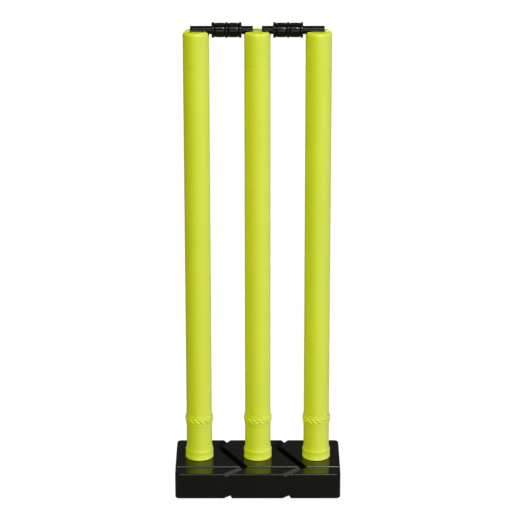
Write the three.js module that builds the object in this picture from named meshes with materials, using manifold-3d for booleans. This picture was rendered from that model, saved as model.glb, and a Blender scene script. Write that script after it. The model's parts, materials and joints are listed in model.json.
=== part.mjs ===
// Cricket stumps: three stumps in one base, with two bails resting on top.
// Millimetres, +Z up. X runs along the row of stumps, and Y runs from the front (-) to the back (+).
// The origin is on the ground, below the middle stump.

import * as THREE from "three";
import { mergeVertices } from "three/addons/utils/BufferGeometryUtils.js";
import Module from "manifold-3d";

const wasm = await Module();
wasm.setup();

// The wicket
const STUMP_SPACING = 94.3;
const STUMP_HEIGHT = 709;
const BASE_HEIGHT = 45;
const PAD_PROUD = 1;

// Fits: FIT is the gap between neighbours, OVERRUN is how far a cut runs past what it cuts
const FIT = 0.3;
const OVERRUN = 2;

// Tube
const TUBE_DIAMETER = 40.6;
const TUBE_WALL = 2;
const SEAM_CHAMFER = 0.5;

// Head
const HEAD_HEIGHT = 52.75;
const HEAD_ROUND = 6.5;
const HEAD_CROWN = 12;
const PLUG_LENGTH = 28;
const PLUG_WALL = 2.5;

// Foot: heights are above the top of the base, and steps are measured along a radius
const FOOT_STEP = 0.2;
const COLLAR_STEP = 1.7;
const COLLAR_HEIGHT = 13.2;
const COLLAR_SHOULDER = 10;
const COLLAR_EDGE = 0.8;
const SHOULDER_BEND_SHARE = 0.2;
const SHOULDER_TURN_SHARE = 0.33;
const RIM_STEP = 0.2;
const RIM_HEIGHT = 12.6;
const LIP_HEIGHT = 1.6;
const SPIGOT_STEP = 3.3;
const SPIGOT_CLEARANCE = 2;
const SPIGOT_WALL = 2.5;
const SPIGOT_CHAMFER = 1.5;

// Rope band moulded on the foot
const BAND_HEIGHT = 58.5;
const BAND_WIDTH = 17.5;
const BAND_RISE = 2.1;
const BAND_ROOT = 2.5;
const BAND_STEP = 0.6;
const ROPE_WIDTH = 4.2;
const ROPE_WAVE = 3;
const ROPE_SHIFT = 0.7;
const ROPE_LOOPS = 16;
const ROPE_COLUMNS_PER_LOOP = 4;
const ROPE_ROWS = 7;
const SWELL_SHARE = 0.45;
const CROSSING_SHARE = 0.3;
const BAND_RAMP_SHARE = 0.2;

// Bail: its ends are measured from the axes of the two stumps that it lies on
const BARREL_CLEARANCE = 3.85;
const BARREL_DIAMETER = 22.6;
const BARREL_WAIST = 1.1;
const RING_DIAMETER = 24.2;
const RING_WIDTH = 4.2;
const RING_ROUND = 1.3;
const BAIL_SPIGOT_DIAMETER = 12.8;
const BAIL_INNER_END = 6.85;
const BAIL_OUTER_END = 8.85;
const BAIL_CHAMFER = 0.8;
const BAIL_RISE = 1.2;

// Base shell: BASE_END is how far it runs past the axis of an outer stump
const BASE_END = 37.95;
const BASE_DEPTH = 138;
const BASE_CORNER = 7;
const BASE_EDGE = 2.5;
const BASE_FOOT_EDGE = 3;
const BASE_WALL = 3;
const CREASE_OFFSET = 42.2;
const CREASE_WIDTH = 1.2;
const CREASE_ROUND = 0.5;
const STRIP_DROP = 1.6;
const SOCKET_LEAD = 0.8;
const CUP_CLEARANCE = 4;

// Zigzag grooves: places of the left edge of the groove's floor along X, from the middle of the
// gap between two stumps, then the widths and the depth of its section
const GROOVE_BACK_EXIT = -4.3;
const GROOVE_BACK_BEND = -20.6;
const GROOVE_FRONT_BEND = 23;
const GROOVE_FRONT_EXIT = -3.5;
const GROOVE_LEFT_RUN = 5;
const GROOVE_FLOOR = 4.8;
const GROOVE_RIGHT_RUN = 2.6;
const GROOVE_DEPTH = 6.8;
const UNDER_GROOVE_DEPTH = 5.5;
const GROOVE_EXTENSION = 1.6;

// Base floor, its screws and its pads
const FLOOR_THICKNESS = 4;
const SCREW_END_INSET = 44.25;
const SCREW_SIDE_INSET = 17;
const SCREW_HEAD_DIAMETER = 7;
const SCREW_HEAD_HEIGHT = 2.4;
const SCREW_SHANK_DIAMETER = 3.4;
const SCREW_LENGTH = 12;
const SCREW_SINK = 0.6;
const BOSS_WALL = 2.5;
const PAD_DIAMETER = 24;
const PAD_THICKNESS = 3;
const PAD_INSET = 22;
const PAD_EDGE = 0.6;

// Facets
const ROUND_FACETS = 32;
const BAIL_FACETS = 16;
const SMALL_FACETS = 12;
const SCREW_FACETS = 8;
const ARC_FACETS = 3;
const BEAD_FACETS = 2;

// Levels, lengths and radii that follow from the sizes above
const BASE_TOP = PAD_PROUD + BASE_HEIGHT;
const BASE_LENGTH = 2 * (STUMP_SPACING + BASE_END);
const CUP_BOTTOM = PAD_PROUD + FLOOR_THICKNESS + CUP_CLEARANCE;
const SOCKET_FLOOR = CUP_BOTTOM + BASE_WALL;
const SPIGOT_LENGTH = BASE_TOP - SOCKET_FLOOR - SPIGOT_CLEARANCE;
const TUBE_RADIUS = TUBE_DIAMETER / 2;
const TUBE_BORE = TUBE_RADIUS - TUBE_WALL;
const PLUG_RADIUS = TUBE_BORE - FIT;
const SPIGOT_RADIUS = TUBE_RADIUS - SPIGOT_STEP;
const SOCKET_RADIUS = SPIGOT_RADIUS + FIT;
const FOOT_RADIUS = TUBE_RADIUS + FOOT_STEP;
const COLLAR_RADIUS = FOOT_RADIUS + COLLAR_STEP;
const FOOT_TOP = BAND_HEIGHT + BAND_WIDTH + FIT;
const BAIL_AXIS = BASE_TOP + STUMP_HEIGHT + BAIL_RISE;
const BAIL_PLACE = STUMP_SPACING / 2;
const BARREL_LENGTH = STUMP_SPACING - TUBE_DIAMETER - 2 * BARREL_CLEARANCE;
const SHORT_SPIGOT = BAIL_PLACE - BARREL_LENGTH / 2 - BAIL_INNER_END;
const LONG_SPIGOT = BAIL_PLACE - BARREL_LENGTH / 2 + BAIL_OUTER_END;
const CHANNEL_RADIUS = BAIL_SPIGOT_DIAMETER / 2 + FIT;
const SCREW_HOLE_RADIUS = SCREW_SHANK_DIAMETER / 2 + FIT;

// Finishes
const neonPlastic = () =>
  new THREE.MeshStandardMaterial({ color: "#c8dc2c", roughness: 0.42, metalness: 0 });
const blackPlastic = () =>
  new THREE.MeshStandardMaterial({ color: "#1b1b1c", roughness: 0.38, metalness: 0 });
const blackRubber = () =>
  new THREE.MeshStandardMaterial({ color: "#141414", roughness: 0.85, metalness: 0 });
const zincSteel = () =>
  new THREE.MeshStandardMaterial({ color: "#b4b6b8", roughness: 0.35, metalness: 1 });

// A closed geometry as a solid that can be joined and cut
function solid(geometry) {
  const bare = geometry.clone();
  bare.deleteAttribute("normal");
  bare.deleteAttribute("uv");
  const merged = mergeVertices(bare);
  return new wasm.Manifold(
    new wasm.Mesh({
      numProp: 3,
      vertProperties: new Float32Array(merged.attributes.position.array),
      triVerts: new Uint32Array(merged.index.array),
    }),
  );
}

// A solid back as a geometry with flat facets
function geometryOf(body) {
  const mesh = body.getMesh();
  const geometry = new THREE.BufferGeometry();
  geometry.setAttribute("position", new THREE.BufferAttribute(mesh.vertProperties, 3));
  geometry.setIndex(new THREE.BufferAttribute(mesh.triVerts, 1));
  const flat = geometry.toNonIndexed();
  flat.computeVertexNormals();
  return flat;
}

// A profile of [radius, height] points turned about the Z axis
function turned(profile, facets) {
  const points = profile.map(([radius, height]) => new THREE.Vector2(radius, height));
  return new THREE.LatheGeometry(points, facets).rotateX(Math.PI / 2);
}

// A quarter round from one [radius, height] point to another, bulging towards the corner
function roundTo(from, corner, to, facets = ARC_FACETS) {
  const curve = new THREE.QuadraticBezierCurve(
    new THREE.Vector2(...from),
    new THREE.Vector2(...corner),
    new THREE.Vector2(...to),
  );
  return curve.getPoints(facets).map((point) => [point.x, point.y]);
}

// A closed outline of [x, y, round] corners
function outline(corners) {
  const shape = new THREE.Shape();
  corners.forEach(([x, y, round], i) => {
    const corner = new THREE.Vector2(x, y);
    const [beforeX, beforeY] = corners[(i + corners.length - 1) % corners.length];
    const [afterX, afterY] = corners[(i + 1) % corners.length];
    const before = new THREE.Vector2(beforeX, beforeY).sub(corner).setLength(round).add(corner);
    const after = new THREE.Vector2(afterX, afterY).sub(corner).setLength(round).add(corner);
    if (i === 0) shape.moveTo(before.x, before.y);
    else shape.lineTo(before.x, before.y);
    shape.quadraticCurveTo(corner.x, corner.y, after.x, after.y);
  });
  shape.closePath();
  return shape;
}

function rectangle(width, height, round) {
  const x = width / 2;
  const y = height / 2;
  return outline([
    [-x, -y, round],
    [x, -y, round],
    [x, y, round],
    [-x, y, round],
  ]);
}

function extruded(shape, depth) {
  return new THREE.ExtrudeGeometry(shape, {
    depth,
    bevelEnabled: false,
    curveSegments: ARC_FACETS,
  });
}

// A section of [across, up] points swept along a mitred path of [x, y] points
function swept(section, path) {
  const points = path.map(([x, y]) => new THREE.Vector2(x, y));
  const across = points.map((point, i) => {
    const arrive = point.clone().sub(points[Math.max(i - 1, 0)]).normalize();
    const leave = points[Math.min(i + 1, points.length - 1)].clone().sub(point).normalize();
    const along = arrive.clone().add(leave).normalize();
    const straight = i === 0 || i === points.length - 1;
    const widen = straight ? 1 : 1 / along.dot(leave);
    return new THREE.Vector2(along.y, -along.x).multiplyScalar(widen);
  });
  const places = [];
  points.forEach((point, i) => {
    section.forEach(([side, up]) => {
      places.push(point.x + across[i].x * side, point.y + across[i].y * side, up);
    });
  });
  const count = section.length;
  const faces = [];
  for (let i = 0; i + 1 < points.length; i += 1) {
    for (let j = 0; j < count; j += 1) {
      const a = i * count + j;
      const b = i * count + ((j + 1) % count);
      faces.push(a, a + count, b, b, a + count, b + count);
    }
  }
  const lid = THREE.ShapeUtils.triangulateShape(
    section.map(([side, up]) => new THREE.Vector2(side, up)),
    [],
  );
  const last = (points.length - 1) * count;
  lid.forEach(([a, b, c]) => {
    faces.push(a, b, c);
    faces.push(last + a, last + c, last + b);
  });
  const geometry = new THREE.BufferGeometry();
  geometry.setAttribute("position", new THREE.Float32BufferAttribute(places, 3));
  geometry.setIndex(faces);
  return geometry;
}

// Stump tube: plain, open at both ends, with a small chamfer at each outer edge
function tubeGeometry(length) {
  const chamfer = SEAM_CHAMFER;
  return turned(
    [
      [TUBE_BORE, 0],
      [TUBE_RADIUS - chamfer, 0],
      [TUBE_RADIUS, chamfer],
      [TUBE_RADIUS, length - chamfer],
      [TUBE_RADIUS - chamfer, length],
      [TUBE_BORE, length],
      [TUBE_BORE, 0],
    ],
    ROUND_FACETS,
  );
}

// Stump head: a rounded cap with a plug that goes into the tube and a channel for the bails
function headGeometry() {
  const bore = PLUG_RADIUS - PLUG_WALL;
  const ceiling = HEAD_HEIGHT - HEAD_CROWN;
  const cap = turned(
    [
      [0, ceiling],
      [bore, ceiling],
      [bore, -PLUG_LENGTH],
      [PLUG_RADIUS, -PLUG_LENGTH],
      [PLUG_RADIUS, 0],
      [TUBE_RADIUS - SEAM_CHAMFER, 0],
      [TUBE_RADIUS, SEAM_CHAMFER],
      ...roundTo(
        [TUBE_RADIUS, HEAD_HEIGHT - HEAD_ROUND],
        [TUBE_RADIUS, HEAD_HEIGHT],
        [TUBE_RADIUS - HEAD_ROUND, HEAD_HEIGHT],
      ),
      [0, HEAD_HEIGHT],
    ],
    ROUND_FACETS,
  );
  const reach = TUBE_RADIUS + OVERRUN;
  const channel = new THREE.CylinderGeometry(CHANNEL_RADIUS, CHANNEL_RADIUS, 2 * reach, BAIL_FACETS)
    .rotateZ(Math.PI / 2)
    .translate(0, 0, HEAD_HEIGHT + BAIL_RISE);
  return geometryOf(solid(cap).subtract(solid(channel)));
}

// Height of the moulded rope over the foot, as a share of the band's rise.
// Two strands wave about the middle of the band and cross, one over the other in turn.
function ropeShare(turn, height) {
  const phase = Math.PI * ROPE_LOOPS * turn;
  const loopLength = (2 * Math.PI * FOOT_RADIUS) / ROPE_LOOPS;
  const slope = (ROPE_WAVE * Math.PI * Math.sin(phase)) / loopLength;
  const lean = 1 / Math.hypot(1, slope);
  const middle = height - BAND_WIDTH / 2 - ROPE_SHIFT;
  const strand = (side) => {
    const away = (Math.abs(middle - side * ROPE_WAVE * Math.cos(phase)) * lean) / (ROPE_WIDTH / 2);
    const crown = Math.sqrt(Math.max(0, 1 - away * away));
    const over = 1 - CROSSING_SHARE * (0.5 - 0.5 * side * Math.sin(phase));
    return crown * over;
  };
  const up = height / BAND_WIDTH;
  const ramp = Math.min(1, up / BAND_RAMP_SHARE, (1 - up) / BAND_RAMP_SHARE);
  const swell = Math.sin((Math.PI / 2) * ramp);
  return swell * (SWELL_SHARE + (1 - SWELL_SHARE) * Math.max(strand(1), strand(-1)));
}

// Rope band: a closed ring whose outer face carries the two strands
function bandGeometry() {
  const columns = ROPE_LOOPS * ROPE_COLUMNS_PER_LOOP;
  const rows = ROPE_ROWS + 1;
  const count = rows + 2;
  const places = [];
  for (let i = 0; i < columns; i += 1) {
    const turn = i / columns;
    const angle = 2 * Math.PI * turn;
    const put = (radius, height) => {
      places.push(radius * Math.cos(angle), radius * Math.sin(angle), BAND_HEIGHT + height);
    };
    for (let j = 0; j < rows; j += 1) {
      const height = (BAND_WIDTH * j) / ROPE_ROWS;
      const rise = BAND_STEP + (BAND_RISE - BAND_STEP) * ropeShare(turn, height);
      put(FOOT_RADIUS + rise, height);
    }
    put(FOOT_RADIUS - BAND_ROOT, BAND_WIDTH);
    put(FOOT_RADIUS - BAND_ROOT, 0);
  }
  const faces = [];
  for (let i = 0; i < columns; i += 1) {
    const next = (i + 1) % columns;
    for (let j = 0; j < count; j += 1) {
      const up = (j + 1) % count;
      const a = i * count + j;
      const b = next * count + j;
      const c = next * count + up;
      const d = i * count + up;
      faces.push(a, b, c, a, c, d);
    }
  }
  const geometry = new THREE.BufferGeometry();
  geometry.setAttribute("position", new THREE.Float32BufferAttribute(places, 3));
  geometry.setIndex(faces);
  return geometry;
}

// Stump foot: spigot, collar, neck, rope band and the plug that goes up into the tube
function footGeometry() {
  const bore = SPIGOT_RADIUS - SPIGOT_WALL;
  const plugTop = FOOT_TOP + PLUG_LENGTH;
  const rim = COLLAR_RADIUS + RIM_STEP;
  const neck = COLLAR_HEIGHT + COLLAR_SHOULDER;
  const bend = COLLAR_SHOULDER * SHOULDER_BEND_SHARE;
  const turn = COLLAR_HEIGHT + COLLAR_SHOULDER * SHOULDER_TURN_SHARE;
  const halfWay = [(rim + FOOT_RADIUS) / 2, turn];
  const body = turned(
    [
      [0, plugTop - PLUG_WALL],
      [bore, plugTop - PLUG_WALL],
      [bore, -SPIGOT_LENGTH],
      [SPIGOT_RADIUS - SPIGOT_CHAMFER, -SPIGOT_LENGTH],
      [SPIGOT_RADIUS, -SPIGOT_LENGTH + SPIGOT_CHAMFER],
      [SPIGOT_RADIUS, FIT],
      [rim - COLLAR_EDGE, FIT],
      [rim, FIT + COLLAR_EDGE],
      [rim, LIP_HEIGHT],
      [COLLAR_RADIUS, LIP_HEIGHT + RIM_STEP],
      [COLLAR_RADIUS, RIM_HEIGHT],
      [rim, RIM_HEIGHT + RIM_STEP],
      ...roundTo([rim, COLLAR_HEIGHT], [rim, COLLAR_HEIGHT + bend], halfWay, BEAD_FACETS),
      ...roundTo(halfWay, [FOOT_RADIUS, neck - bend], [FOOT_RADIUS, neck], BEAD_FACETS).slice(1),
      [FOOT_RADIUS, FOOT_TOP - FIT],
      [PLUG_RADIUS, FOOT_TOP - FIT],
      [PLUG_RADIUS, plugTop],
      [0, plugTop],
    ],
    ROUND_FACETS,
  );
  return geometryOf(solid(body).add(solid(bandGeometry())));
}

// Bail: a barrel with three rings, a long spigot towards +X and a short one towards -X
function bailGeometry() {
  const ring = RING_DIAMETER / 2;
  const body = BARREL_DIAMETER / 2;
  const waist = body - BARREL_WAIST;
  const spigot = BAIL_SPIGOT_DIAMETER / 2;
  const half = BARREL_LENGTH / 2;
  const ringAt = (middle) => {
    const low = middle - RING_WIDTH / 2;
    const high = middle + RING_WIDTH / 2;
    return [
      ...roundTo([waist, low], [ring, low], [ring, low + RING_ROUND], BEAD_FACETS),
      ...roundTo([ring, high - RING_ROUND], [ring, high], [waist, high], BEAD_FACETS),
    ];
  };
  const bulge = (from, to) => {
    const middle = (from + to) / 2;
    return [
      ...roundTo([waist, from], [body, from], [body, middle], BEAD_FACETS).slice(1),
      ...roundTo([body, middle], [body, to], [waist, to], BEAD_FACETS).slice(1, -1),
    ];
  };
  const endRing = half - RING_WIDTH / 2;
  const midRing = RING_WIDTH / 2;
  const profile = [
    [0, -half - SHORT_SPIGOT],
    [spigot - BAIL_CHAMFER, -half - SHORT_SPIGOT],
    [spigot, -half - SHORT_SPIGOT + BAIL_CHAMFER],
    [spigot, -half],
    ...ringAt(-endRing),
    ...bulge(-half + RING_WIDTH, -midRing),
    ...ringAt(0),
    ...bulge(midRing, half - RING_WIDTH),
    ...ringAt(endRing),
    [spigot, half],
    [spigot, half + LONG_SPIGOT - BAIL_CHAMFER],
    [spigot - BAIL_CHAMFER, half + LONG_SPIGOT],
    [0, half + LONG_SPIGOT],
  ];
  return turned(profile, BAIL_FACETS).rotateY(Math.PI / 2);
}

// Path of one zigzag groove across the base, from the back to the front.
// Its outer runs go on past the faces of the block.
function groovePath(middle) {
  const end = BASE_DEPTH / 2;
  const past = (bend, exit) => [
    bend[0] + GROOVE_EXTENSION * (exit[0] - bend[0]),
    bend[1] + GROOVE_EXTENSION * (exit[1] - bend[1]),
  ];
  const backBend = [middle + GROOVE_BACK_BEND, CREASE_OFFSET];
  const frontBend = [middle + GROOVE_FRONT_BEND, -CREASE_OFFSET];
  return [
    past(backBend, [middle + GROOVE_BACK_EXIT, end]),
    backBend,
    frontBend,
    past(frontBend, [middle + GROOVE_FRONT_EXIT, -end]),
  ];
}

// Section of a groove that opens upwards at a level; wall makes it larger all round.
// Its left side is positive, because the path comes towards the front.
// Both sides keep their slope up to the overrun over the surface.
function grooveSection(level, depth, wall) {
  const low = level - depth - wall;
  const top = level + OVERRUN;
  const side = (floorEdge, run) => {
    const slope = run / GROOVE_DEPTH;
    const lowEdge = floorEdge + wall * (Math.hypot(1, slope) - slope);
    return [lowEdge, lowEdge + slope * (top - low)];
  };
  const [leftLow, leftTop] = side(0, GROOVE_LEFT_RUN);
  const [rightLow, rightTop] = side(GROOVE_FLOOR, GROOVE_RIGHT_RUN);
  return [
    [-rightTop, top],
    [-rightLow, low],
    [leftLow, low],
    [leftTop, top],
  ];
}

const grooveMiddles = [-STUMP_SPACING / 2, STUMP_SPACING / 2];
const stumpPlaces = [-STUMP_SPACING, 0, STUMP_SPACING];

// The two grooves of the top face
function topGrooves(wall) {
  return grooveMiddles
    .map((middle) => solid(swept(grooveSection(BASE_TOP, GROOVE_DEPTH, wall), groovePath(middle))))
    .reduce((all, one) => all.add(one));
}

// The two grooves of the underside: the same course, with the section upside down
function underGrooves(wall) {
  const section = grooveSection(-PAD_PROUD, UNDER_GROOVE_DEPTH, wall)
    .map(([side, up]) => [side, -up])
    .reverse();
  return grooveMiddles
    .map((middle) => solid(swept(section, groovePath(middle))))
    .reduce((all, one) => all.add(one));
}

// A round bar along Z, as a solid
function bar(radius, from, to, x, y, facets) {
  const geometry = new THREE.CylinderGeometry(radius, radius, to - from, facets)
    .rotateX(Math.PI / 2)
    .translate(x, y, (from + to) / 2);
  return solid(geometry);
}

const screwPlaces = [-1, 0, 1].flatMap((sideX) =>
  [-1, 1].map((sideY) => [
    sideX * (BASE_LENGTH / 2 - SCREW_END_INSET),
    sideY * (BASE_DEPTH / 2 - SCREW_SIDE_INSET),
  ]),
);
const padPlaces = [-1, 1].flatMap((sideX) =>
  [-1, 1].map((sideY) => [
    sideX * (BASE_LENGTH / 2 - PAD_INSET),
    sideY * (BASE_DEPTH / 2 - PAD_INSET),
  ]),
);

// Outer block of the base: its plan, side and front outlines meet, so every edge is round
function baseBlock() {
  const length = BASE_LENGTH / 2;
  const depth = BASE_DEPTH / 2;
  const strip = BASE_HEIGHT - STRIP_DROP;
  const creaseLow = CREASE_OFFSET + CREASE_WIDTH / 2;
  const creaseHigh = CREASE_OFFSET - CREASE_WIDTH / 2;
  const plan = extruded(rectangle(BASE_LENGTH, BASE_DEPTH, BASE_CORNER), BASE_HEIGHT);
  const side = extruded(
    outline([
      [-depth, 0, BASE_FOOT_EDGE],
      [depth, 0, BASE_FOOT_EDGE],
      [depth, strip, BASE_EDGE],
      [creaseLow, strip, CREASE_ROUND],
      [creaseHigh, BASE_HEIGHT, CREASE_ROUND],
      [-creaseHigh, BASE_HEIGHT, CREASE_ROUND],
      [-creaseLow, strip, CREASE_ROUND],
      [-depth, strip, BASE_EDGE],
    ]),
    BASE_LENGTH,
  );
  const sideTurn = new THREE.Matrix4().makeBasis(
    new THREE.Vector3(0, 1, 0),
    new THREE.Vector3(0, 0, 1),
    new THREE.Vector3(1, 0, 0),
  );
  side.applyMatrix4(sideTurn).translate(-length, 0, 0);
  const front = extruded(
    outline([
      [-length, 0, BASE_FOOT_EDGE],
      [length, 0, BASE_FOOT_EDGE],
      [length, BASE_HEIGHT, BASE_EDGE],
      [-length, BASE_HEIGHT, BASE_EDGE],
    ]),
    BASE_DEPTH,
  );
  front.rotateX(Math.PI / 2).translate(0, depth, 0);
  return solid(plan)
    .intersect(solid(side))
    .intersect(solid(front))
    .translate([0, 0, PAD_PROUD]);
}

// The space inside the shell, open below, around its sockets, groove walls and screw bosses
function baseHollow() {
  const roof = BASE_TOP - STRIP_DROP - BASE_WALL;
  const low = PAD_PROUD - OVERRUN;
  const room = rectangle(BASE_LENGTH - 2 * BASE_WALL, BASE_DEPTH - 2 * BASE_WALL, BASE_CORNER - BASE_WALL);
  let hollow = solid(extruded(room, roof - low).translate(0, 0, low));
  hollow = hollow.subtract(topGrooves(BASE_WALL));
  stumpPlaces.forEach((x) => {
    hollow = hollow.subtract(
      bar(SOCKET_RADIUS + BASE_WALL, CUP_BOTTOM, BASE_TOP, x, 0, ROUND_FACETS),
    );
  });
  const bossBottom = PAD_PROUD + FLOOR_THICKNESS + FIT;
  screwPlaces.forEach(([x, y]) => {
    hollow = hollow.subtract(
      bar(SCREW_HOLE_RADIUS + BOSS_WALL, bossBottom, BASE_TOP, x, y, SMALL_FACETS),
    );
  });
  return hollow;
}

// Base shell: the block, hollow from below, with its sockets, grooves and screw holes
function shellGeometry() {
  let shell = baseBlock().subtract(baseHollow()).subtract(topGrooves(0)).subtract(underGrooves(0));
  const socket = turned(
    [
      [0, SOCKET_FLOOR],
      [SOCKET_RADIUS, SOCKET_FLOOR],
      [SOCKET_RADIUS, BASE_TOP - SOCKET_LEAD],
      [SOCKET_RADIUS + SOCKET_LEAD, BASE_TOP],
      [SOCKET_RADIUS + SOCKET_LEAD, BASE_TOP + OVERRUN],
      [0, BASE_TOP + OVERRUN],
    ],
    ROUND_FACETS,
  );
  stumpPlaces.forEach((x) => {
    shell = shell.subtract(solid(socket.clone().translate(x, 0, 0)));
  });
  const holeTop = PAD_PROUD + SCREW_SINK + SCREW_LENGTH + FIT;
  screwPlaces.forEach(([x, y]) => {
    shell = shell.subtract(bar(SCREW_HOLE_RADIUS, 0, holeTop, x, y, SMALL_FACETS));
  });
  return geometryOf(shell);
}

// Base floor: a plate inside the shell's rim, raised over the grooves of the underside
function floorGeometry() {
  const inset = 2 * (BASE_WALL + FIT);
  const outer = rectangle(BASE_LENGTH - inset, BASE_DEPTH - inset, BASE_CORNER - BASE_WALL);
  const top = PAD_PROUD + FLOOR_THICKNESS;
  const plate = solid(extruded(outer, FLOOR_THICKNESS).translate(0, 0, PAD_PROUD));
  const channelHeight = UNDER_GROOVE_DEPTH + BASE_WALL;
  const reach = solid(extruded(outer, channelHeight).translate(0, 0, PAD_PROUD));
  let floor = plate.add(underGrooves(BASE_WALL).intersect(reach)).subtract(underGrooves(0));
  screwPlaces.forEach(([x, y]) => {
    const headTop = PAD_PROUD + SCREW_SINK + SCREW_HEAD_HEIGHT + FIT;
    floor = floor
      .subtract(bar(SCREW_HOLE_RADIUS, 0, top + OVERRUN, x, y, SMALL_FACETS))
      .subtract(bar(SCREW_HEAD_DIAMETER / 2 + FIT, 0, headTop, x, y, SMALL_FACETS));
  });
  padPlaces.forEach(([x, y]) => {
    floor = floor.subtract(bar(PAD_DIAMETER / 2 + FIT, 0, PAD_THICKNESS + FIT, x, y, BAIL_FACETS));
  });
  return geometryOf(floor);
}

// Base screw: a pan head below and a pointed shank above
function screwGeometry() {
  const head = SCREW_HEAD_DIAMETER / 2;
  const shank = SCREW_SHANK_DIAMETER / 2;
  return turned(
    [
      [0, 0],
      [head - SCREW_HEAD_HEIGHT / 2, 0],
      [head, SCREW_HEAD_HEIGHT / 2],
      [head, SCREW_HEAD_HEIGHT],
      [shank, SCREW_HEAD_HEIGHT],
      [shank, SCREW_LENGTH - 2 * shank],
      [0, SCREW_LENGTH],
    ],
    SCREW_FACETS,
  );
}

// Base pad: a rubber disc with a small chamfer below
function padGeometry() {
  const radius = PAD_DIAMETER / 2;
  return turned(
    [
      [0, 0],
      [radius - PAD_EDGE, 0],
      [radius, PAD_EDGE],
      [radius, PAD_THICKNESS],
      [0, PAD_THICKNESS],
    ],
    BAIL_FACETS,
  );
}

function part(name, geometry, material, x, y, z) {
  const mesh = new THREE.Mesh(geometry, material);
  mesh.name = name;
  mesh.position.set(x, y, z);
  return mesh;
}

// One stump, standing on the top of the base
function stump(side, x) {
  const seam = STUMP_HEIGHT - HEAD_HEIGHT;
  const group = new THREE.Group();
  group.position.set(x, 0, BASE_TOP);
  group.add(part(side + "_foot", footGeometry(), neonPlastic(), 0, 0, 0));
  group.add(part(side + "_tube", tubeGeometry(seam - FIT - FOOT_TOP), neonPlastic(), 0, 0, FOOT_TOP));
  group.add(part(side + "_head", headGeometry(), neonPlastic(), 0, 0, seam));
  return group;
}

// One bail, with its long spigot on the outer stump
function bail(name, side) {
  const mesh = part(name, bailGeometry(), blackPlastic(), side * BAIL_PLACE, 0, BAIL_AXIS);
  mesh.rotation.z = side > 0 ? 0 : Math.PI;
  return mesh;
}

function base() {
  const group = new THREE.Group();
  group.add(part("base_shell", shellGeometry(), blackPlastic(), 0, 0, 0));
  group.add(part("base_floor", floorGeometry(), blackPlastic(), 0, 0, 0));
  screwPlaces.forEach(([x, y], i) => {
    const screw = part("base_screw_" + (i + 1), screwGeometry(), zincSteel(), x, y, 0);
    screw.position.z = PAD_PROUD + SCREW_SINK;
    group.add(screw);
  });
  padPlaces.forEach(([x, y], i) => {
    group.add(part("base_pad_" + (i + 1), padGeometry(), blackRubber(), x, y, 0));
  });
  return group;
}

const group = new THREE.Group();
group.add(base());
["left", "middle", "right"].forEach((side, i) => group.add(stump(side, stumpPlaces[i])));
group.add(bail("left_bail", -1));
group.add(bail("right_bail", 1));

export default group;
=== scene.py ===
"""Cricket stumps: finishes, fine shapes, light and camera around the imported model.

Metres; +Z up, +X towards the right stump and +Y towards the back.
"""

import json
import math

import bmesh
import bpy
from mathutils import Matrix, Vector

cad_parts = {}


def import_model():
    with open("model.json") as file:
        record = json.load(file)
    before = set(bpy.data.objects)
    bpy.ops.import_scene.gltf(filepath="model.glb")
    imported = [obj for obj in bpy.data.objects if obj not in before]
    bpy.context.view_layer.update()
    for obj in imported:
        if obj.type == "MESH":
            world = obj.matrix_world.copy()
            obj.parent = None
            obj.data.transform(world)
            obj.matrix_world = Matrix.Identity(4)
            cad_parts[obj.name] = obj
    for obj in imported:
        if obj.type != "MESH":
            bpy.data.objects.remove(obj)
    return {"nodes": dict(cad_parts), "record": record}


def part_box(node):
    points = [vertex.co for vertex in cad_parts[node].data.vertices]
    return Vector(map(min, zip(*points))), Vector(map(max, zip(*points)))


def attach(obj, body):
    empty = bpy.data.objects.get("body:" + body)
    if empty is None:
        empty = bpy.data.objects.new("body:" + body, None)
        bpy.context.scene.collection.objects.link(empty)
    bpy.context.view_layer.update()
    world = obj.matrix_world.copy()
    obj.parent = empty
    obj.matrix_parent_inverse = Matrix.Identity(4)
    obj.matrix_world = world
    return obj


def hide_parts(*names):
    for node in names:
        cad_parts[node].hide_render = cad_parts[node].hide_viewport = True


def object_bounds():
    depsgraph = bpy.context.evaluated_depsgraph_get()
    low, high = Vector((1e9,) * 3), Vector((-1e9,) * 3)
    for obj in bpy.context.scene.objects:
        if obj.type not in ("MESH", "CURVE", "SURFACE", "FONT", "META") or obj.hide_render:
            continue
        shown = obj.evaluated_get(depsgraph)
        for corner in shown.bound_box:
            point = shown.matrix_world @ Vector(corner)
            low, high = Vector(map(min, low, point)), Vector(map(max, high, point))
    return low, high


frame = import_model()
cad_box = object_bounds()

MM = 0.001

# Camera, as found from the photograph: focal length in pixels of the 522 px frame
FRAME_PIXELS = 522
FOCAL_PIXELS = 2660
SENSOR_MM = 36
CAMERA_PITCH_DEG = 19.54
CAMERA_ROLL_DEG = -0.032
CAMERA_DISTANCE = 3.9568
CAMERA_SIDE = 0.00539
CAMERA_OVER_BASE = 1.7391
CAMERA_CLIP_END = 100

# Facets of the fine meshes
ROUND_COLUMNS = 160
SMALL_COLUMNS = 96
ARC_STEPS = 8
FINE_ARC_STEPS = 4
HEAD_ARC_STEPS = 14
ROPE_COLUMNS_PER_LOOP = 20
ROPE_ROWS = 44
CUT_SEGMENTS = 3
CREASE_SEGMENTS = 4
RIM_SEGMENTS = 5

# Angles in degrees between two faces: a larger one is drawn sharp, or rounded by a bevel
TUBE_SHARP_DEG = 38
BAIL_SHARP_DEG = 45
FOOT_SHARP_DEG = 50
CUT_BEVEL_DEG = 32
RIM_BEVEL_DEG = 40

# Clearance between two pieces that fit into each other
FIT = 0.3 * MM

# Gap between the faces of two pieces that would lie in one plane
TOUCH_GAP = 0.02 * MM

# Height of the row that ends a long face at a round edge, so that the face is shaded evenly
EDGE_HOLD = 0.3 * MM

# How far a cutter stands out of what it cuts
OVERRUN = 2 * MM

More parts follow.
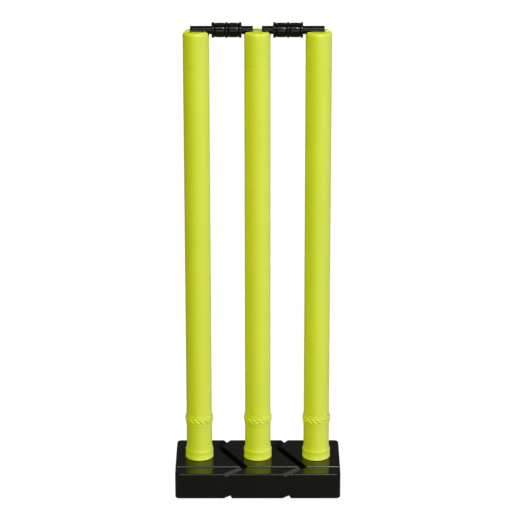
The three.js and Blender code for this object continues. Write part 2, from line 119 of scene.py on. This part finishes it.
# Stump
SEAM_DIP = 0.35 * MM
SEAM_REACH = 1.3 * MM
HEAD_ROUND = 6.5 * MM
HEAD_CROWN = 12 * MM
PLUG_WALL = 2.5 * MM
TUBE_WALL = 2 * MM
FOOT_RADIUS = 20.5 * MM
COLLAR_RADIUS = 22.2 * MM
COLLAR_HEIGHT = 13.2 * MM
COLLAR_SHOULDER = 10 * MM
COLLAR_EDGE = 0.8 * MM
SHOULDER_BEND_SHARE = 0.2
SHOULDER_TURN_SHARE = 0.33
RIM_STEP = 0.2 * MM
RIM_HEIGHT = 12.6 * MM
LIP_HEIGHT = 1.6 * MM
SPIGOT_RADIUS = 17 * MM
SPIGOT_CHAMFER = 1.5 * MM
CHANNEL_BEVEL = 0.7 * MM

# Rope band: two strands wave along it and cross in every loop
BAND_WIDTH = 17.5 * MM
BAND_RISE = 2.1 * MM
BAND_STEP = 0.6 * MM
BAND_EDGE = 0.4 * MM
ROPE_WIDTH = 3.7 * MM
ROPE_WAVE = 3 * MM
ROPE_SHIFT = 0.7 * MM
ROPE_LOOPS = 16
CROSSING_SHARE = 0.55
BAND_RAMP_SHARE = 0.2

# Bail
BARREL_LENGTH = 46 * MM
BARREL_RADIUS = 11.3 * MM
BARREL_WAIST = 1.1 * MM
RING_WIDTH = 4.2 * MM
RING_ROUND = 1.3 * MM
BAIL_SPIGOT_RADIUS = 6.4 * MM
BAIL_CHAMFER = 0.8 * MM

# Base: a groove's bends and exits are measured sideways from the middle between two stumps
BASE_CORNER = 7 * MM
BASE_EDGE = 2.5 * MM
BASE_WALL = 3 * MM
UPRIGHT_RISE = 12 * MM
CREASE_OFFSET = 42.2 * MM
CREASE_WIDTH = 1.2 * MM
CREASE_ROUND = 0.5 * MM
STRIP_DROP = 1.6 * MM
SOCKET_DEPTH = 34 * MM
SOCKET_RADIUS = 17.3 * MM
SOCKET_LEAD = 0.8 * MM
GROOVE_BACK_EXIT = -4.3 * MM
GROOVE_BACK_BEND = -20.6 * MM
GROOVE_FRONT_BEND = 23 * MM
GROOVE_FRONT_EXIT = -3.5 * MM
GROOVE_LEFT_RUN = 5 * MM
GROOVE_FLOOR = 4.8 * MM
GROOVE_RIGHT_RUN = 2.6 * MM
GROOVE_DEPTH = 6.8 * MM
UNDER_GROOVE_DEPTH = 5.5 * MM
GROOVE_EXTENSION = 1.6
GROOVE_BEVEL = 0.8 * MM

# Light: the surroundings are white to the camera, give little light and look dark in reflections
AMBIENT_LEVEL = 0.04
REFLECTED_LEVEL = 0.085
FLOOR_REFLECTED = 0.145
FLOOR_COLOR = (0.04, 0.04, 0.04)
FLOOR_HALF = 40
AIM_SHARE = 0.35
WHITE = (1, 1, 1)
HALF_WARM = (1, 1, 0.15)
WARM = (1, 1, 0.03)
SOFTBOX_DISTANCE = 3.5
SOFTBOX_SIZE = (2, 2.4)
GLOW_DISTANCE = 3
STRIP_DISTANCE = 2.6
STRIP_SIZE = (0.06, 1.2)

SIDES = ("left", "middle", "right")


# Node materials


def material(name, color, roughness, specular=0.5):
    """A principled material, its node tree, its shader and its object coordinates."""
    made = bpy.data.materials.new(name)
    made.use_nodes = True
    tree = made.node_tree
    shader = tree.nodes["Principled BSDF"]
    shader.inputs["Base Color"].default_value = (*color, 1)
    shader.inputs["Roughness"].default_value = roughness
    shader.inputs["Specular IOR Level"].default_value = specular
    place = tree.nodes.new("ShaderNodeTexCoord").outputs["Object"]
    return made, tree, shader, place


def noise(tree, place, scale, detail, roughness=0.5):
    node = tree.nodes.new("ShaderNodeTexNoise")
    node.inputs["Scale"].default_value = scale
    node.inputs["Detail"].default_value = detail
    node.inputs["Roughness"].default_value = roughness
    tree.links.new(place, node.inputs["Vector"])
    return node.outputs["Fac"]


def spread(tree, value, low, high, from_low=0.3, from_high=0.7):
    """Maps the range in which a noise mostly lies to low and high."""
    node = tree.nodes.new("ShaderNodeMapRange")
    node.inputs["From Min"].default_value = from_low
    node.inputs["From Max"].default_value = from_high
    node.inputs["To Min"].default_value = low
    node.inputs["To Max"].default_value = high
    tree.links.new(value, node.inputs["Value"])
    return node.outputs["Result"]


def mixed(tree, share, first, second):
    """A mix of two colours; each is a tuple or a socket."""
    node = tree.nodes.new("ShaderNodeMix")
    node.data_type = "RGBA"
    tree.links.new(share, node.inputs["Factor"])
    for socket, value in ((node.inputs[6], first), (node.inputs[7], second)):
        if isinstance(value, tuple):
            socket.default_value = (*value, 1)
        else:
            tree.links.new(value, socket)
    return node.outputs[2]


def clouded(tree, value, first, second):
    """A colour that a noise leads from one to another."""
    return mixed(tree, spread(tree, value, 0, 1), first, second)


def bump(tree, heights, shader):
    """Chains (height, distance) pairs into the shader's normal."""
    normal = None
    for height, distance in heights:
        node = tree.nodes.new("ShaderNodeBump")
        node.inputs["Distance"].default_value = distance
        tree.links.new(height, node.inputs["Height"])
        if normal:
            tree.links.new(normal, node.inputs["Normal"])
        normal = node.outputs["Normal"]
    tree.links.new(normal, shader.inputs["Normal"])


def neon_plastic():
    made, tree, shader, place = material("neon_plastic", (0.58, 0.66, 0.12), roughness=0.3)
    cloud = noise(tree, place, scale=9, detail=3)
    color = clouded(tree, cloud, (0.565, 0.65, 0.116), (0.6, 0.672, 0.124))
    speck = noise(tree, place, scale=620, detail=2)
    rare = spread(tree, speck, 0, 0.2, from_low=0.62, from_high=0.75)
    specked = mixed(tree, rare, color, (0.66, 0.72, 0.18))
    tree.links.new(specked, shader.inputs["Base Color"])
    grain = noise(tree, place, scale=900, detail=3)
    flow = noise(tree, place, scale=55, detail=2)
    tree.links.new(spread(tree, flow, 0.28, 0.32), shader.inputs["Roughness"])
    bump(tree, ((grain, 0.02 * MM), (flow, 0.02 * MM)), shader)
    return made


def black_plastic():
    made, tree, shader, place = material("black_plastic", (0.002, 0.002, 0.0028), roughness=0.18)
    cloud = noise(tree, place, scale=14, detail=4)
    color = clouded(tree, cloud, (0.0016, 0.0016, 0.0023), (0.0025, 0.0025, 0.0034))
    tree.links.new(color, shader.inputs["Base Color"])
    grain = noise(tree, place, scale=1400, detail=3)
    smear = noise(tree, place, scale=38, detail=5, roughness=0.6)
    tree.links.new(spread(tree, smear, 0.15, 0.2), shader.inputs["Roughness"])
    bump(tree, ((grain, 0.006 * MM), (smear, 0.02 * MM)), shader)
    return made


def bail_plastic():
    made, tree, shader, place = material(
        "bail_plastic", (0.003, 0.003, 0.0032), roughness=0.13, specular=0.3
    )
    cloud = noise(tree, place, scale=120, detail=3)
    color = clouded(tree, cloud, (0.0025, 0.0025, 0.0028), (0.0036, 0.0035, 0.0037))
    tree.links.new(color, shader.inputs["Base Color"])
    grain = noise(tree, place, scale=1600, detail=2)
    tree.links.new(spread(tree, cloud, 0.1, 0.15), shader.inputs["Roughness"])
    bump(tree, ((grain, 0.004 * MM),), shader)
    return made


def pad_rubber():
    made, tree, shader, place = material(
        "pad_rubber", (0.02, 0.02, 0.02), roughness=0.8, specular=0.3
    )
    grain = noise(tree, place, scale=700, detail=4)
    color = clouded(tree, grain, (0.015, 0.015, 0.015), (0.03, 0.029, 0.028))
    tree.links.new(color, shader.inputs["Base Color"])
    bump(tree, ((grain, 0.08 * MM),), shader)
    return made


def screw_steel():
    made, tree, shader, place = material("screw_steel", (0.55, 0.56, 0.57), roughness=0.32)
    shader.inputs["Metallic"].default_value = 1
    brushed = noise(tree, place, scale=800, detail=3)
    color = clouded(tree, brushed, (0.48, 0.49, 0.5), (0.62, 0.63, 0.64))
    tree.links.new(color, shader.inputs["Base Color"])
    tree.links.new(spread(tree, brushed, 0.25, 0.4), shader.inputs["Roughness"])
    bump(tree, ((brushed, 0.01 * MM),), shader)
    return made


# Meshes


def mesh_object(name, points, faces):
    mesh = bpy.data.meshes.new(name)
    mesh.from_pydata([tuple(p) for p in points], [], faces)
    mesh.update()
    made = bpy.data.objects.new(name, mesh)
    bpy.context.scene.collection.objects.link(made)
    return made


def smooth(piece, sharp_deg):
    """Shades a piece smooth, with sharp edges from an angle on."""
    piece.data.polygons.foreach_set("use_smooth", [True] * len(piece.data.polygons))
    piece.data.set_sharp_from_angle(angle=math.radians(sharp_deg))
    piece.data.update()


def arc(start, corner, end, steps=ARC_STEPS):
    """Points of a quadratic curve from start to end that bulges towards corner."""
    made = []
    for i in range(steps + 1):
        t = i / steps
        weights = ((1 - t) ** 2, 2 * t * (1 - t), t * t)
        made.append(
            tuple(sum(w * p[k] for w, p in zip(weights, (start, corner, end))) for k in (0, 1))
        )
    return made


def lathe(name, profile, columns, center, relief=None):
    """Turns (radius, height) points about an upright axis at center; relief adds to the radius."""
    points = []
    rows = []
    for radius, height in profile:
        if radius == 0:
            rows.append([len(points)])
            points.append((center[0], center[1], center[2] + height))
            continue
        rows.append(list(range(len(points), len(points) + columns)))
        for i in range(columns):
            turn = i / columns
            out = radius + (relief(turn, height) if relief else 0)
            angle = math.tau * turn
            points.append(
                (
                    center[0] + out * math.cos(angle),
                    center[1] + out * math.sin(angle),
                    center[2] + height,
                )
            )
    pairs = list(zip(rows, rows[1:]))
    if profile[0][0] > 0:
        pairs.append((rows[-1], rows[0]))
    faces = []
    for low, high in pairs:
        for i in range(columns):
            n = (i + 1) % columns
            if len(low) == 1:
                faces.append((low[0], high[n], high[i]))
            elif len(high) == 1:
                faces.append((low[i], low[n], high[0]))
            else:
                faces.append((low[i], low[n], high[n], high[i]))
    return mesh_object(name, points, faces)


def swept(name, section, path):
    """A section of (across, up) points along a mitred path of (x, y) points."""
    places = [Vector(p) for p in path]
    points = []
    for i, place in enumerate(places):
        leave = (places[min(i + 1, len(places) - 1)] - place).normalized()
        arrive = (place - places[max(i - 1, 0)]).normalized()
        along = (arrive + leave).normalized()
        inner = 0 < i < len(places) - 1
        widen = 1 / along.dot(leave) if inner else 1
        for side, up in section:
            points.append((place.x + along.y * widen * side, place.y - along.x * widen * side, up))
    count = len(section)
    faces = []
    for i in range(len(places) - 1):
        for j in range(count):
            a = i * count + j
            b = i * count + (j + 1) % count
            faces.append((a, a + count, b + count, b))
    last = (len(places) - 1) * count
    faces.append(tuple(range(count)))
    faces.append(tuple(last + j for j in reversed(range(count))))
    return mesh_object(name, points, faces)


def outward(piece):
    """Turns every face outwards."""
    made = bmesh.new()
    made.from_mesh(piece.data)
    bmesh.ops.recalc_face_normals(made, faces=made.faces)
    made.to_mesh(piece.data)
    made.free()


def cut(piece, tools, bevel):
    """Cuts the tools out of a piece, rounds its sharp edges and keeps the result as its mesh."""
    outward(piece)
    for tool in tools:
        outward(tool)
        hole = piece.modifiers.new("cut", "BOOLEAN")
        hole.operation = "DIFFERENCE"
        hole.solver = "EXACT"
        hole.object = tool
    rounded = piece.modifiers.new("round", "BEVEL")
    rounded.width = bevel
    rounded.segments = CUT_SEGMENTS
    rounded.limit_method = "ANGLE"
    rounded.angle_limit = math.radians(CUT_BEVEL_DEG)
    rounded.use_clamp_overlap = True
    weighted = piece.modifiers.new("weighted", "WEIGHTED_NORMAL")
    weighted.keep_sharp = True
    piece.data.polygons.foreach_set("use_smooth", [True] * len(piece.data.polygons))
    bpy.context.view_layer.update()
    final = piece.evaluated_get(bpy.context.evaluated_depsgraph_get())
    mesh = bpy.data.meshes.new_from_object(final)
    piece.modifiers.clear()
    old = piece.data
    piece.data = mesh
    bpy.data.meshes.remove(old)
    for tool in tools:
        bpy.data.objects.remove(tool)


def finish_piece(piece, finish, body, slot, *nodes):
    piece.data.materials.clear()
    piece.data.materials.append(finish)
    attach(piece, body)
    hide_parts(*nodes)


# Stumps


def center_of(node):
    low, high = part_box(node)
    return (low.x + high.x) / 2, (low.y + high.y) / 2


def radius_of(node):
    low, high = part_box(node)
    return (high.x - low.x) / 2


def stump_spacing():
    """Distance between the axes of two neighbouring stumps."""
    return center_of("right_tube")[0] - center_of("middle_tube")[0]


def rope_share(turn, height):
    """Height of the moulded rope as a share of the band's rise: two strands that cross in turn."""
    phase = math.pi * ROPE_LOOPS * turn
    loop_length = math.tau * FOOT_RADIUS / ROPE_LOOPS
    slope = ROPE_WAVE * math.pi * math.sin(phase) / loop_length
    lean = 1 / math.hypot(1, slope)
    middle = height - BAND_WIDTH / 2 - ROPE_SHIFT

    def strand(side):
        away = abs(middle - side * ROPE_WAVE * math.cos(phase)) * lean / (ROPE_WIDTH / 2)
        crown = math.sqrt(max(0, 1 - away * away))
        return crown * (1 - CROSSING_SHARE * (0.5 - 0.5 * side * math.sin(phase)))

    reach = BAND_RAMP_SHARE * BAND_WIDTH
    ramp = min(1, height / reach, (BAND_WIDTH - height) / reach)
    swell = math.sin(math.pi / 2 * max(0, ramp))
    return swell * max(strand(1), strand(-1))


def tube(side, finish):
    node = side + "_tube"
    low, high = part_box(node)
    radius = radius_of(node)
    bore = radius - TUBE_WALL
    length = high.z - low.z
    dip = length - SEAM_REACH
    profile = [
        (bore, 0),
        (radius, 0),
        (radius, dip - EDGE_HOLD),
        *arc((radius, dip), (radius, length - SEAM_REACH / 2), (radius - SEAM_DIP, length)),
        (bore, length),
    ]
    piece = lathe(side + "_stump_tube", profile, ROUND_COLUMNS, (*center_of(node), low.z))
    smooth(piece, TUBE_SHARP_DEG)
    finish_piece(piece, finish, side + "_stump", "neon_plastic", node)


def head(side, finish):
    node = side + "_head"
    low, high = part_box(node)
    tube_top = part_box(side + "_tube")[1].z
    radius = radius_of(node)
    plug = radius - TUBE_WALL - FIT
    seam = tube_top + TOUCH_GAP - low.z
    top = high.z - low.z
    ceiling = top - HEAD_CROWN
    dip = seam + SEAM_REACH
    side_top = top - HEAD_ROUND
    profile = [
        (0, ceiling),
        (plug - PLUG_WALL, ceiling),
        (plug - PLUG_WALL, 0),
        (plug, 0),
        (plug, seam),
        *arc((radius - SEAM_DIP, seam), (radius, seam + SEAM_REACH / 2), (radius, dip)),
        *arc((radius, side_top), (radius, top), (radius - HEAD_ROUND, top), HEAD_ARC_STEPS),
        (0, top),
    ]
    piece = lathe(side + "_stump_head", profile, ROUND_COLUMNS, (*center_of(node), low.z))
    bail_low, bail_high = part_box("left_bail")
    axis = (bail_low.z + bail_high.z) / 2
    channel_radius = BAIL_SPIGOT_RADIUS + FIT
    reach = radius + OVERRUN
    channel = lathe(
        "channel",
        [(0, -reach), (channel_radius, -reach), (channel_radius, reach), (0, reach)],
        SMALL_COLUMNS,
        (0, 0, 0),
    )
    channel.data.transform(
        Matrix.Translation((center_of(node)[0], 0, axis)) @ Matrix.Rotation(math.pi / 2, 4, "Y")
    )
    cut(piece, [channel], CHANNEL_BEVEL)
    finish_piece(piece, finish, side + "_stump", "neon_plastic", node)


def foot(side, finish):
    node = side + "_foot"
    low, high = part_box(node)
    base_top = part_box("base_shell")[1].z
    tube_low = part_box(side + "_tube")[0].z
    rim = COLLAR_RADIUS + RIM_STEP
    plug = radius_of(side + "_tube") - TUBE_WALL - FIT
    level = base_top - low.z
    seat = tube_low - low.z - TOUCH_GAP
    top = high.z - low.z
    band = tube_low - low.z - FIT - BAND_WIDTH
    band_foot = band - BAND_EDGE
    bore = SPIGOT_RADIUS - PLUG_WALL
    shoulder = level + COLLAR_HEIGHT
    neck = shoulder + COLLAR_SHOULDER
    half_way = ((rim + FOOT_RADIUS) / 2, shoulder + COLLAR_SHOULDER * SHOULDER_TURN_SHARE)
    turn_off = COLLAR_SHOULDER * SHOULDER_BEND_SHARE
    step = level + RIM_HEIGHT
    under = level + FIT
    lip_top = level + LIP_HEIGHT
    band_rows = [
        (FOOT_RADIUS, band + BAND_WIDTH * j / ROPE_ROWS) for j in range(ROPE_ROWS + 1)
    ]
    profile = [
        (0, top - PLUG_WALL),
        (bore, top - PLUG_WALL),
        (bore, 0),
        *arc(
            (SPIGOT_RADIUS - SPIGOT_CHAMFER, 0),
            (SPIGOT_RADIUS, 0),
            (SPIGOT_RADIUS, SPIGOT_CHAMFER),
        ),
        (SPIGOT_RADIUS, under),
        *arc(
            (rim - COLLAR_EDGE, under),
            (rim, under),
            (rim, under + COLLAR_EDGE),
            FINE_ARC_STEPS,
        ),
        *arc(
            (rim, lip_top - RIM_STEP),
            (rim, lip_top),
            (COLLAR_RADIUS, lip_top + RIM_STEP),
            FINE_ARC_STEPS,
        ),
        *arc(
            (COLLAR_RADIUS, step - RIM_STEP),
            (COLLAR_RADIUS, step),
            (rim, step + RIM_STEP),
            FINE_ARC_STEPS,
        ),
        *arc((rim, shoulder), (rim, shoulder + turn_off), half_way),
        *arc(half_way, (FOOT_RADIUS, neck - turn_off), (FOOT_RADIUS, neck))[1:],
        (FOOT_RADIUS, neck + EDGE_HOLD),
        (FOOT_RADIUS, band_foot - EDGE_HOLD),
        (FOOT_RADIUS, band_foot),
        *band_rows,
        (FOOT_RADIUS, seat),
        (plug, seat),
        (plug, top),
        (0, top),
    ]

    def relief(turn, height):
        up = height - band
        if up < -BAND_EDGE / 2 or up > BAND_WIDTH + BAND_EDGE / 2:
            return 0
        from_edge = min(up + BAND_EDGE, BAND_WIDTH + BAND_EDGE - up)
        rounding = min(1, from_edge / BAND_EDGE / 2)
        return BAND_STEP * rounding + (BAND_RISE - BAND_STEP) * rope_share(turn, up)

    columns = ROPE_LOOPS * ROPE_COLUMNS_PER_LOOP
    center = (*center_of(node), low.z)
    piece = lathe(side + "_stump_foot", profile, columns, center, relief)
    smooth(piece, FOOT_SHARP_DEG)
    finish_piece(piece, finish, side + "_stump", "neon_plastic", node)


# Bails


def bail(side, finish):
    """A turned bail; its long spigot lies on the outer stump."""
    node = side + "_bail"
    low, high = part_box(node)
    way = 1 if side == "right" else -1
    place = stump_spacing() / 2
    ring = (high.z - low.z) / 2
    waist = BARREL_RADIUS - BARREL_WAIST
    half = BARREL_LENGTH / 2
    outer = max(abs(low.x), abs(high.x)) - place
    inner = place - min(abs(low.x), abs(high.x))

    def ring_at(middle):
        a = middle - RING_WIDTH / 2
        b = middle + RING_WIDTH / 2
        return [
            *arc((waist, a), (ring, a), (ring, a + RING_ROUND)),
            *arc((ring, b - RING_ROUND), (ring, b), (waist, b)),
        ]

    def bulge(a, b):
        center = (a + b) / 2
        return [
            *arc((waist, a), (BARREL_RADIUS, a), (BARREL_RADIUS, center))[1:],
            *arc((BARREL_RADIUS, center), (BARREL_RADIUS, b), (waist, b))[1:-1],
        ]

    spigot = BAIL_SPIGOT_RADIUS
    chamfer = BAIL_CHAMFER
    profile = [
        (0, -inner),
        *arc(
            (spigot - chamfer, -inner),
            (spigot, -inner),
            (spigot, -inner + chamfer),
            FINE_ARC_STEPS,
        ),
        (spigot, -inner + chamfer + EDGE_HOLD),
        (spigot, -half),
        *ring_at(-half + RING_WIDTH / 2),
        *bulge(-half + RING_WIDTH, -RING_WIDTH / 2),
        *ring_at(0),
        *bulge(RING_WIDTH / 2, half - RING_WIDTH),
        *ring_at(half - RING_WIDTH / 2),
        (spigot, half),
        (spigot, outer - chamfer - EDGE_HOLD),
        *arc(
            (spigot, outer - chamfer),
            (spigot, outer),
            (spigot - chamfer, outer),
            FINE_ARC_STEPS,
        ),
        (0, outer),
    ]
    piece = lathe(side + "_turned_bail", profile, SMALL_COLUMNS, (0, 0, 0))
    axis = (low.z + high.z) / 2
    turn = Matrix.Rotation(way * math.pi / 2, 4, "Y")
    piece.data.transform(Matrix.Translation((way * place, 0, axis)) @ turn)
    smooth(piece, BAIL_SHARP_DEG)
    finish_piece(piece, finish, side + "_bail", "bail_plastic", node)


# Base


def groove_path(middle, face):
    """The left edge of a groove's floor, from the back face to the front and past both."""

    def past(bend, out):
        return tuple(b + GROOVE_EXTENSION * (o - b) for b, o in zip(bend, out))

    back_bend = (middle + GROOVE_BACK_BEND, CREASE_OFFSET)
    front_bend = (middle + GROOVE_FRONT_BEND, -CREASE_OFFSET)
    return [
        past(back_bend, (middle + GROOVE_BACK_EXIT, face)),
        back_bend,
        front_bend,
        past(front_bend, (middle + GROOVE_FRONT_EXIT, -face)),
    ]


def groove_section(level, depth, way):
    """A groove's section that opens upwards (way 1) or downwards (way -1) at a level."""
    left = GROOVE_LEFT_RUN / GROOVE_DEPTH * (depth + OVERRUN)
    right = GROOVE_FLOOR + GROOVE_RIGHT_RUN / GROOVE_DEPTH * (depth + OVERRUN)
    low = level - way * depth
    top = level + way * OVERRUN
    return [(-right, top), (-GROOVE_FLOOR, low), (0, low), (left, top)]


def round_edges(block, edges, width, segments):
    bmesh.ops.bevel(
        block,
        geom=edges,
        offset=width,
        segments=segments,
        profile=0.5,
        affect="EDGES",
    )
    block.normal_update()


def base_block(low, high):
    """The base's outside: a raised field between two lower strips, with its edges rounded."""
    end = high.x
    depth = high.y
    strip = high.z - STRIP_DROP
    outline = [
        (-depth, low.z),
        (depth, low.z),
        (depth, strip),
        (CREASE_OFFSET + CREASE_WIDTH / 2, strip),
        (CREASE_OFFSET - CREASE_WIDTH / 2, high.z),
        (CREASE_WIDTH / 2 - CREASE_OFFSET, high.z),
        (-CREASE_WIDTH / 2 - CREASE_OFFSET, strip),
        (-depth, strip),
    ]
    count = len(outline)
    points = [(x, y, z) for x in (-end, end) for y, z in outline]
    faces = [tuple(range(count)), tuple(count + j for j in reversed(range(count)))]
    for j in range(count):
        k = (j + 1) % count
        faces.append((j, k, k + count, j + count))
    piece = mesh_object("base_block", points, faces)
    outward(piece)
    block = bmesh.new()
    block.from_mesh(piece.data)
    upright = [e for e in block.edges if abs(e.verts[0].co.z - e.verts[1].co.z) > UPRIGHT_RISE]
    round_edges(block, upright, BASE_CORNER, ARC_STEPS)
    lengthwise = [e for e in block.edges if abs(e.verts[0].co.x - e.verts[1].co.x) > end]
    crease = [e for e in lengthwise if abs(e.verts[0].co.y) < CREASE_OFFSET + CREASE_WIDTH]
    round_edges(block, crease, CREASE_ROUND, CREASE_SEGMENTS)
    rim = [e for e in block.edges if e.calc_face_angle(0) > math.radians(RIM_BEVEL_DEG)]
    round_edges(block, rim, BASE_EDGE, RIM_SEGMENTS)
    block.to_mesh(piece.data)
    block.free()
    return piece


def base_cutters(low, high):
    """What is cut out of the base: the grooves, the sockets and the floor plate's room."""
    tools = []
    spacing = stump_spacing()
    for middle in (-spacing / 2, spacing / 2):
        path = groove_path(middle, high.y)
        top = groove_section(high.z, GROOVE_DEPTH, 1)
        tools.append(swept("groove", top, path))
        under = groove_section(low.z, UNDER_GROOVE_DEPTH, -1)
        tools.append(swept("under_groove", under, path))
    bottom = high.z - SOCKET_DEPTH
    mouth = SOCKET_RADIUS + SOCKET_LEAD
    socket = [
        (0, bottom),
        (SOCKET_RADIUS, bottom),
        (SOCKET_RADIUS, high.z - SOCKET_LEAD),
        (mouth, high.z),
        (mouth, high.z + OVERRUN),
        (0, high.z + OVERRUN),
    ]
    for x in (-spacing, 0, spacing):
        tools.append(lathe("socket", socket, SMALL_COLUMNS, (x, 0, 0)))
    room_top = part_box("base_floor")[1].z + FIT
    room = [
        (x, y, z)
        for x in (BASE_WALL - high.x, high.x - BASE_WALL)
        for y in (BASE_WALL - high.y, high.y - BASE_WALL)
        for z in (low.z - OVERRUN, room_top)
    ]
    sides = [(0, 1, 3, 2), (4, 6, 7, 5), (0, 4, 5, 1), (2, 3, 7, 6), (0, 2, 6, 4), (1, 5, 7, 3)]
    tools.append(mesh_object("floor_room", room, sides))
    return tools


def base_shell(finish):
    low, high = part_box("base_shell")
    piece = base_block(low, high)
    cut(piece, base_cutters(low, high), GROOVE_BEVEL)
    finish_piece(piece, finish, "base", "base_plastic", "base_shell")


# Stage


def floor():
    """A pale floor: white to the camera, and dark in the piece's reflections."""
    half = FLOOR_HALF
    corners = ((-half, -half, 0), (half, -half, 0), (half, half, 0), (-half, half, 0))
    stage = mesh_object("floor", corners, [(0, 1, 2, 3)])
    made = bpy.data.materials.new("pale_floor")
    made.use_nodes = True
    tree = made.node_tree
    tree.nodes.clear()
    diffuse = tree.nodes.new("ShaderNodeBsdfDiffuse")
    diffuse.inputs["Color"].default_value = (*FLOOR_COLOR, 1)
    glow = tree.nodes.new("ShaderNodeEmission")
    path = tree.nodes.new("ShaderNodeLightPath")
    level = tree.nodes.new("ShaderNodeMath")
    level.operation = "MULTIPLY_ADD"
    level.inputs[1].default_value = FLOOR_REFLECTED
    tree.links.new(path.outputs["Is Glossy Ray"], level.inputs[0])
    tree.links.new(path.outputs["Is Camera Ray"], level.inputs[2])
    tree.links.new(level.outputs[0], glow.inputs["Strength"])
    both = tree.nodes.new("ShaderNodeAddShader")
    tree.links.new(diffuse.outputs[0], both.inputs[0])
    tree.links.new(glow.outputs[0], both.inputs[1])
    out = tree.nodes.new("ShaderNodeOutputMaterial")
    tree.links.new(both.outputs[0], out.inputs["Surface"])
    stage.data.materials.append(made)


def world():
    """Surroundings with a level of their own for light, for reflections and for the camera."""
    made = bpy.data.worlds.new("studio")
    made.use_nodes = True
    tree = made.node_tree
    tree.nodes.clear()
    path = tree.nodes.new("ShaderNodeLightPath")
    unseen = tree.nodes.new("ShaderNodeMapRange")
    unseen.inputs["To Min"].default_value = AMBIENT_LEVEL
    unseen.inputs["To Max"].default_value = REFLECTED_LEVEL
    tree.links.new(path.outputs["Is Glossy Ray"], unseen.inputs["Value"])
    level = tree.nodes.new("ShaderNodeMapRange")
    level.inputs["To Max"].default_value = 1
    tree.links.new(path.outputs["Is Camera Ray"], level.inputs["Value"])
    tree.links.new(unseen.outputs["Result"], level.inputs["To Min"])
    sky = tree.nodes.new("ShaderNodeBackground")
    tint = mixed(tree, path.outputs["Is Diffuse Ray"], WHITE, WARM)
    tree.links.new(tint, sky.inputs["Color"])
    tree.links.new(level.outputs["Result"], sky.inputs["Strength"])
    out = tree.nodes.new("ShaderNodeOutputWorld")
    tree.links.new(sky.outputs[0], out.inputs["Surface"])
    bpy.context.scene.world = made


def lamp(name, azimuth_deg, elevation_deg, distance, size, level, color=WHITE, mirrored=False):
    """A rectangular lamp that aims at the piece.

    Azimuth 0 is the camera's side and grows to the right. A level of 1 lights a facing surface
    so that its colour renders as written. A mirrored lamp only shows in reflections, and any
    other lamp only lights matt colours.
    """
    aim = Vector((0, 0, cad_box[1][2] * AIM_SHARE))
    azimuth = math.radians(azimuth_deg)
    elevation = math.radians(elevation_deg)
    way = Vector(
        (
            math.sin(azimuth) * math.cos(elevation),
            -math.cos(azimuth) * math.cos(elevation),
            math.sin(elevation),
        )
    )
    light = bpy.data.lights.new(name, "AREA")
    light.shape = "RECTANGLE"
    light.size = size[0]
    light.size_y = size[1]
    light.energy = level * (math.pi * distance) ** 2
    light.color = color
    made = bpy.data.objects.new(name, light)
    bpy.context.scene.collection.objects.link(made)
    made.location = aim + way * distance
    made.rotation_euler = way.to_track_quat("Z", "Y").to_euler()
    made.visible_glossy = mirrored
    made.visible_diffuse = not mirrored


def camera():
    made = bpy.data.cameras.new("camera")
    made.sensor_width = SENSOR_MM
    made.lens = FOCAL_PIXELS * SENSOR_MM / FRAME_PIXELS
    made.clip_end = CAMERA_CLIP_END
    view = bpy.data.objects.new("camera", made)
    bpy.context.scene.collection.objects.link(view)
    base_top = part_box("base_shell")[1].z
    view.location = (CAMERA_SIDE, -CAMERA_DISTANCE, base_top + CAMERA_OVER_BASE)
    pitch = Matrix.Rotation(math.radians(90 - CAMERA_PITCH_DEG), 3, "X")
    roll = Matrix.Rotation(math.radians(CAMERA_ROLL_DEG), 3, "Z")
    view.rotation_euler = (pitch @ roll).to_euler()
    bpy.context.scene.camera = view


# Everything together

neon = neon_plastic()
black = black_plastic()
for stump_side in SIDES:
    tube(stump_side, neon)
    head(stump_side, neon)
    foot(stump_side, neon)
bail_finish = bail_plastic()
bail("left", bail_finish)
bail("right", bail_finish)
base_shell(black)
finishes = {"base_plastic": black, "pad_rubber": pad_rubber(), "screw_steel": screw_steel()}
for row in frame["record"]["subparts"]:
    if row["material_slot"] in finishes:
        node = frame["nodes"][row["node"]]
        node.data.materials.clear()
        node.data.materials.append(finishes[row["material_slot"]])

floor()
world()
lamp("right_softbox", 62, -4, SOFTBOX_DISTANCE, SOFTBOX_SIZE, 1.54)
lamp("front_softbox", 30, -4, SOFTBOX_DISTANCE, SOFTBOX_SIZE, 0.56, HALF_WARM)
lamp("left_softbox", -40, -4, SOFTBOX_DISTANCE, SOFTBOX_SIZE, 1.2, WARM)
lamp("back_softbox", 180, 15, SOFTBOX_DISTANCE, SOFTBOX_SIZE, 0.9, HALF_WARM)
lamp("top_softbox", 0, 88, GLOW_DISTANCE, (1, 1), 0.62, HALF_WARM)
lamp("high_glow", 8, 53, GLOW_DISTANCE, (2.4, 1), 0.24, mirrored=True)
lamp("right_glow", 93, 30, GLOW_DISTANCE, (1.6, 1.6), 0.1, mirrored=True)
lamp("low_glow", 3, 10, GLOW_DISTANCE, (1.6, 0.6), 0.1, mirrored=True)
lamp("back_glow", 180, 60, GLOW_DISTANCE, (2, 1), 0.03, mirrored=True)
lamp("near_strip", 10, 47, STRIP_DISTANCE, STRIP_SIZE, 0.11, mirrored=True)
lamp("far_strip", 20, 47, STRIP_DISTANCE, STRIP_SIZE, 0.11, mirrored=True)
camera()
bpy.context.scene.view_settings.view_transform = "Standard"
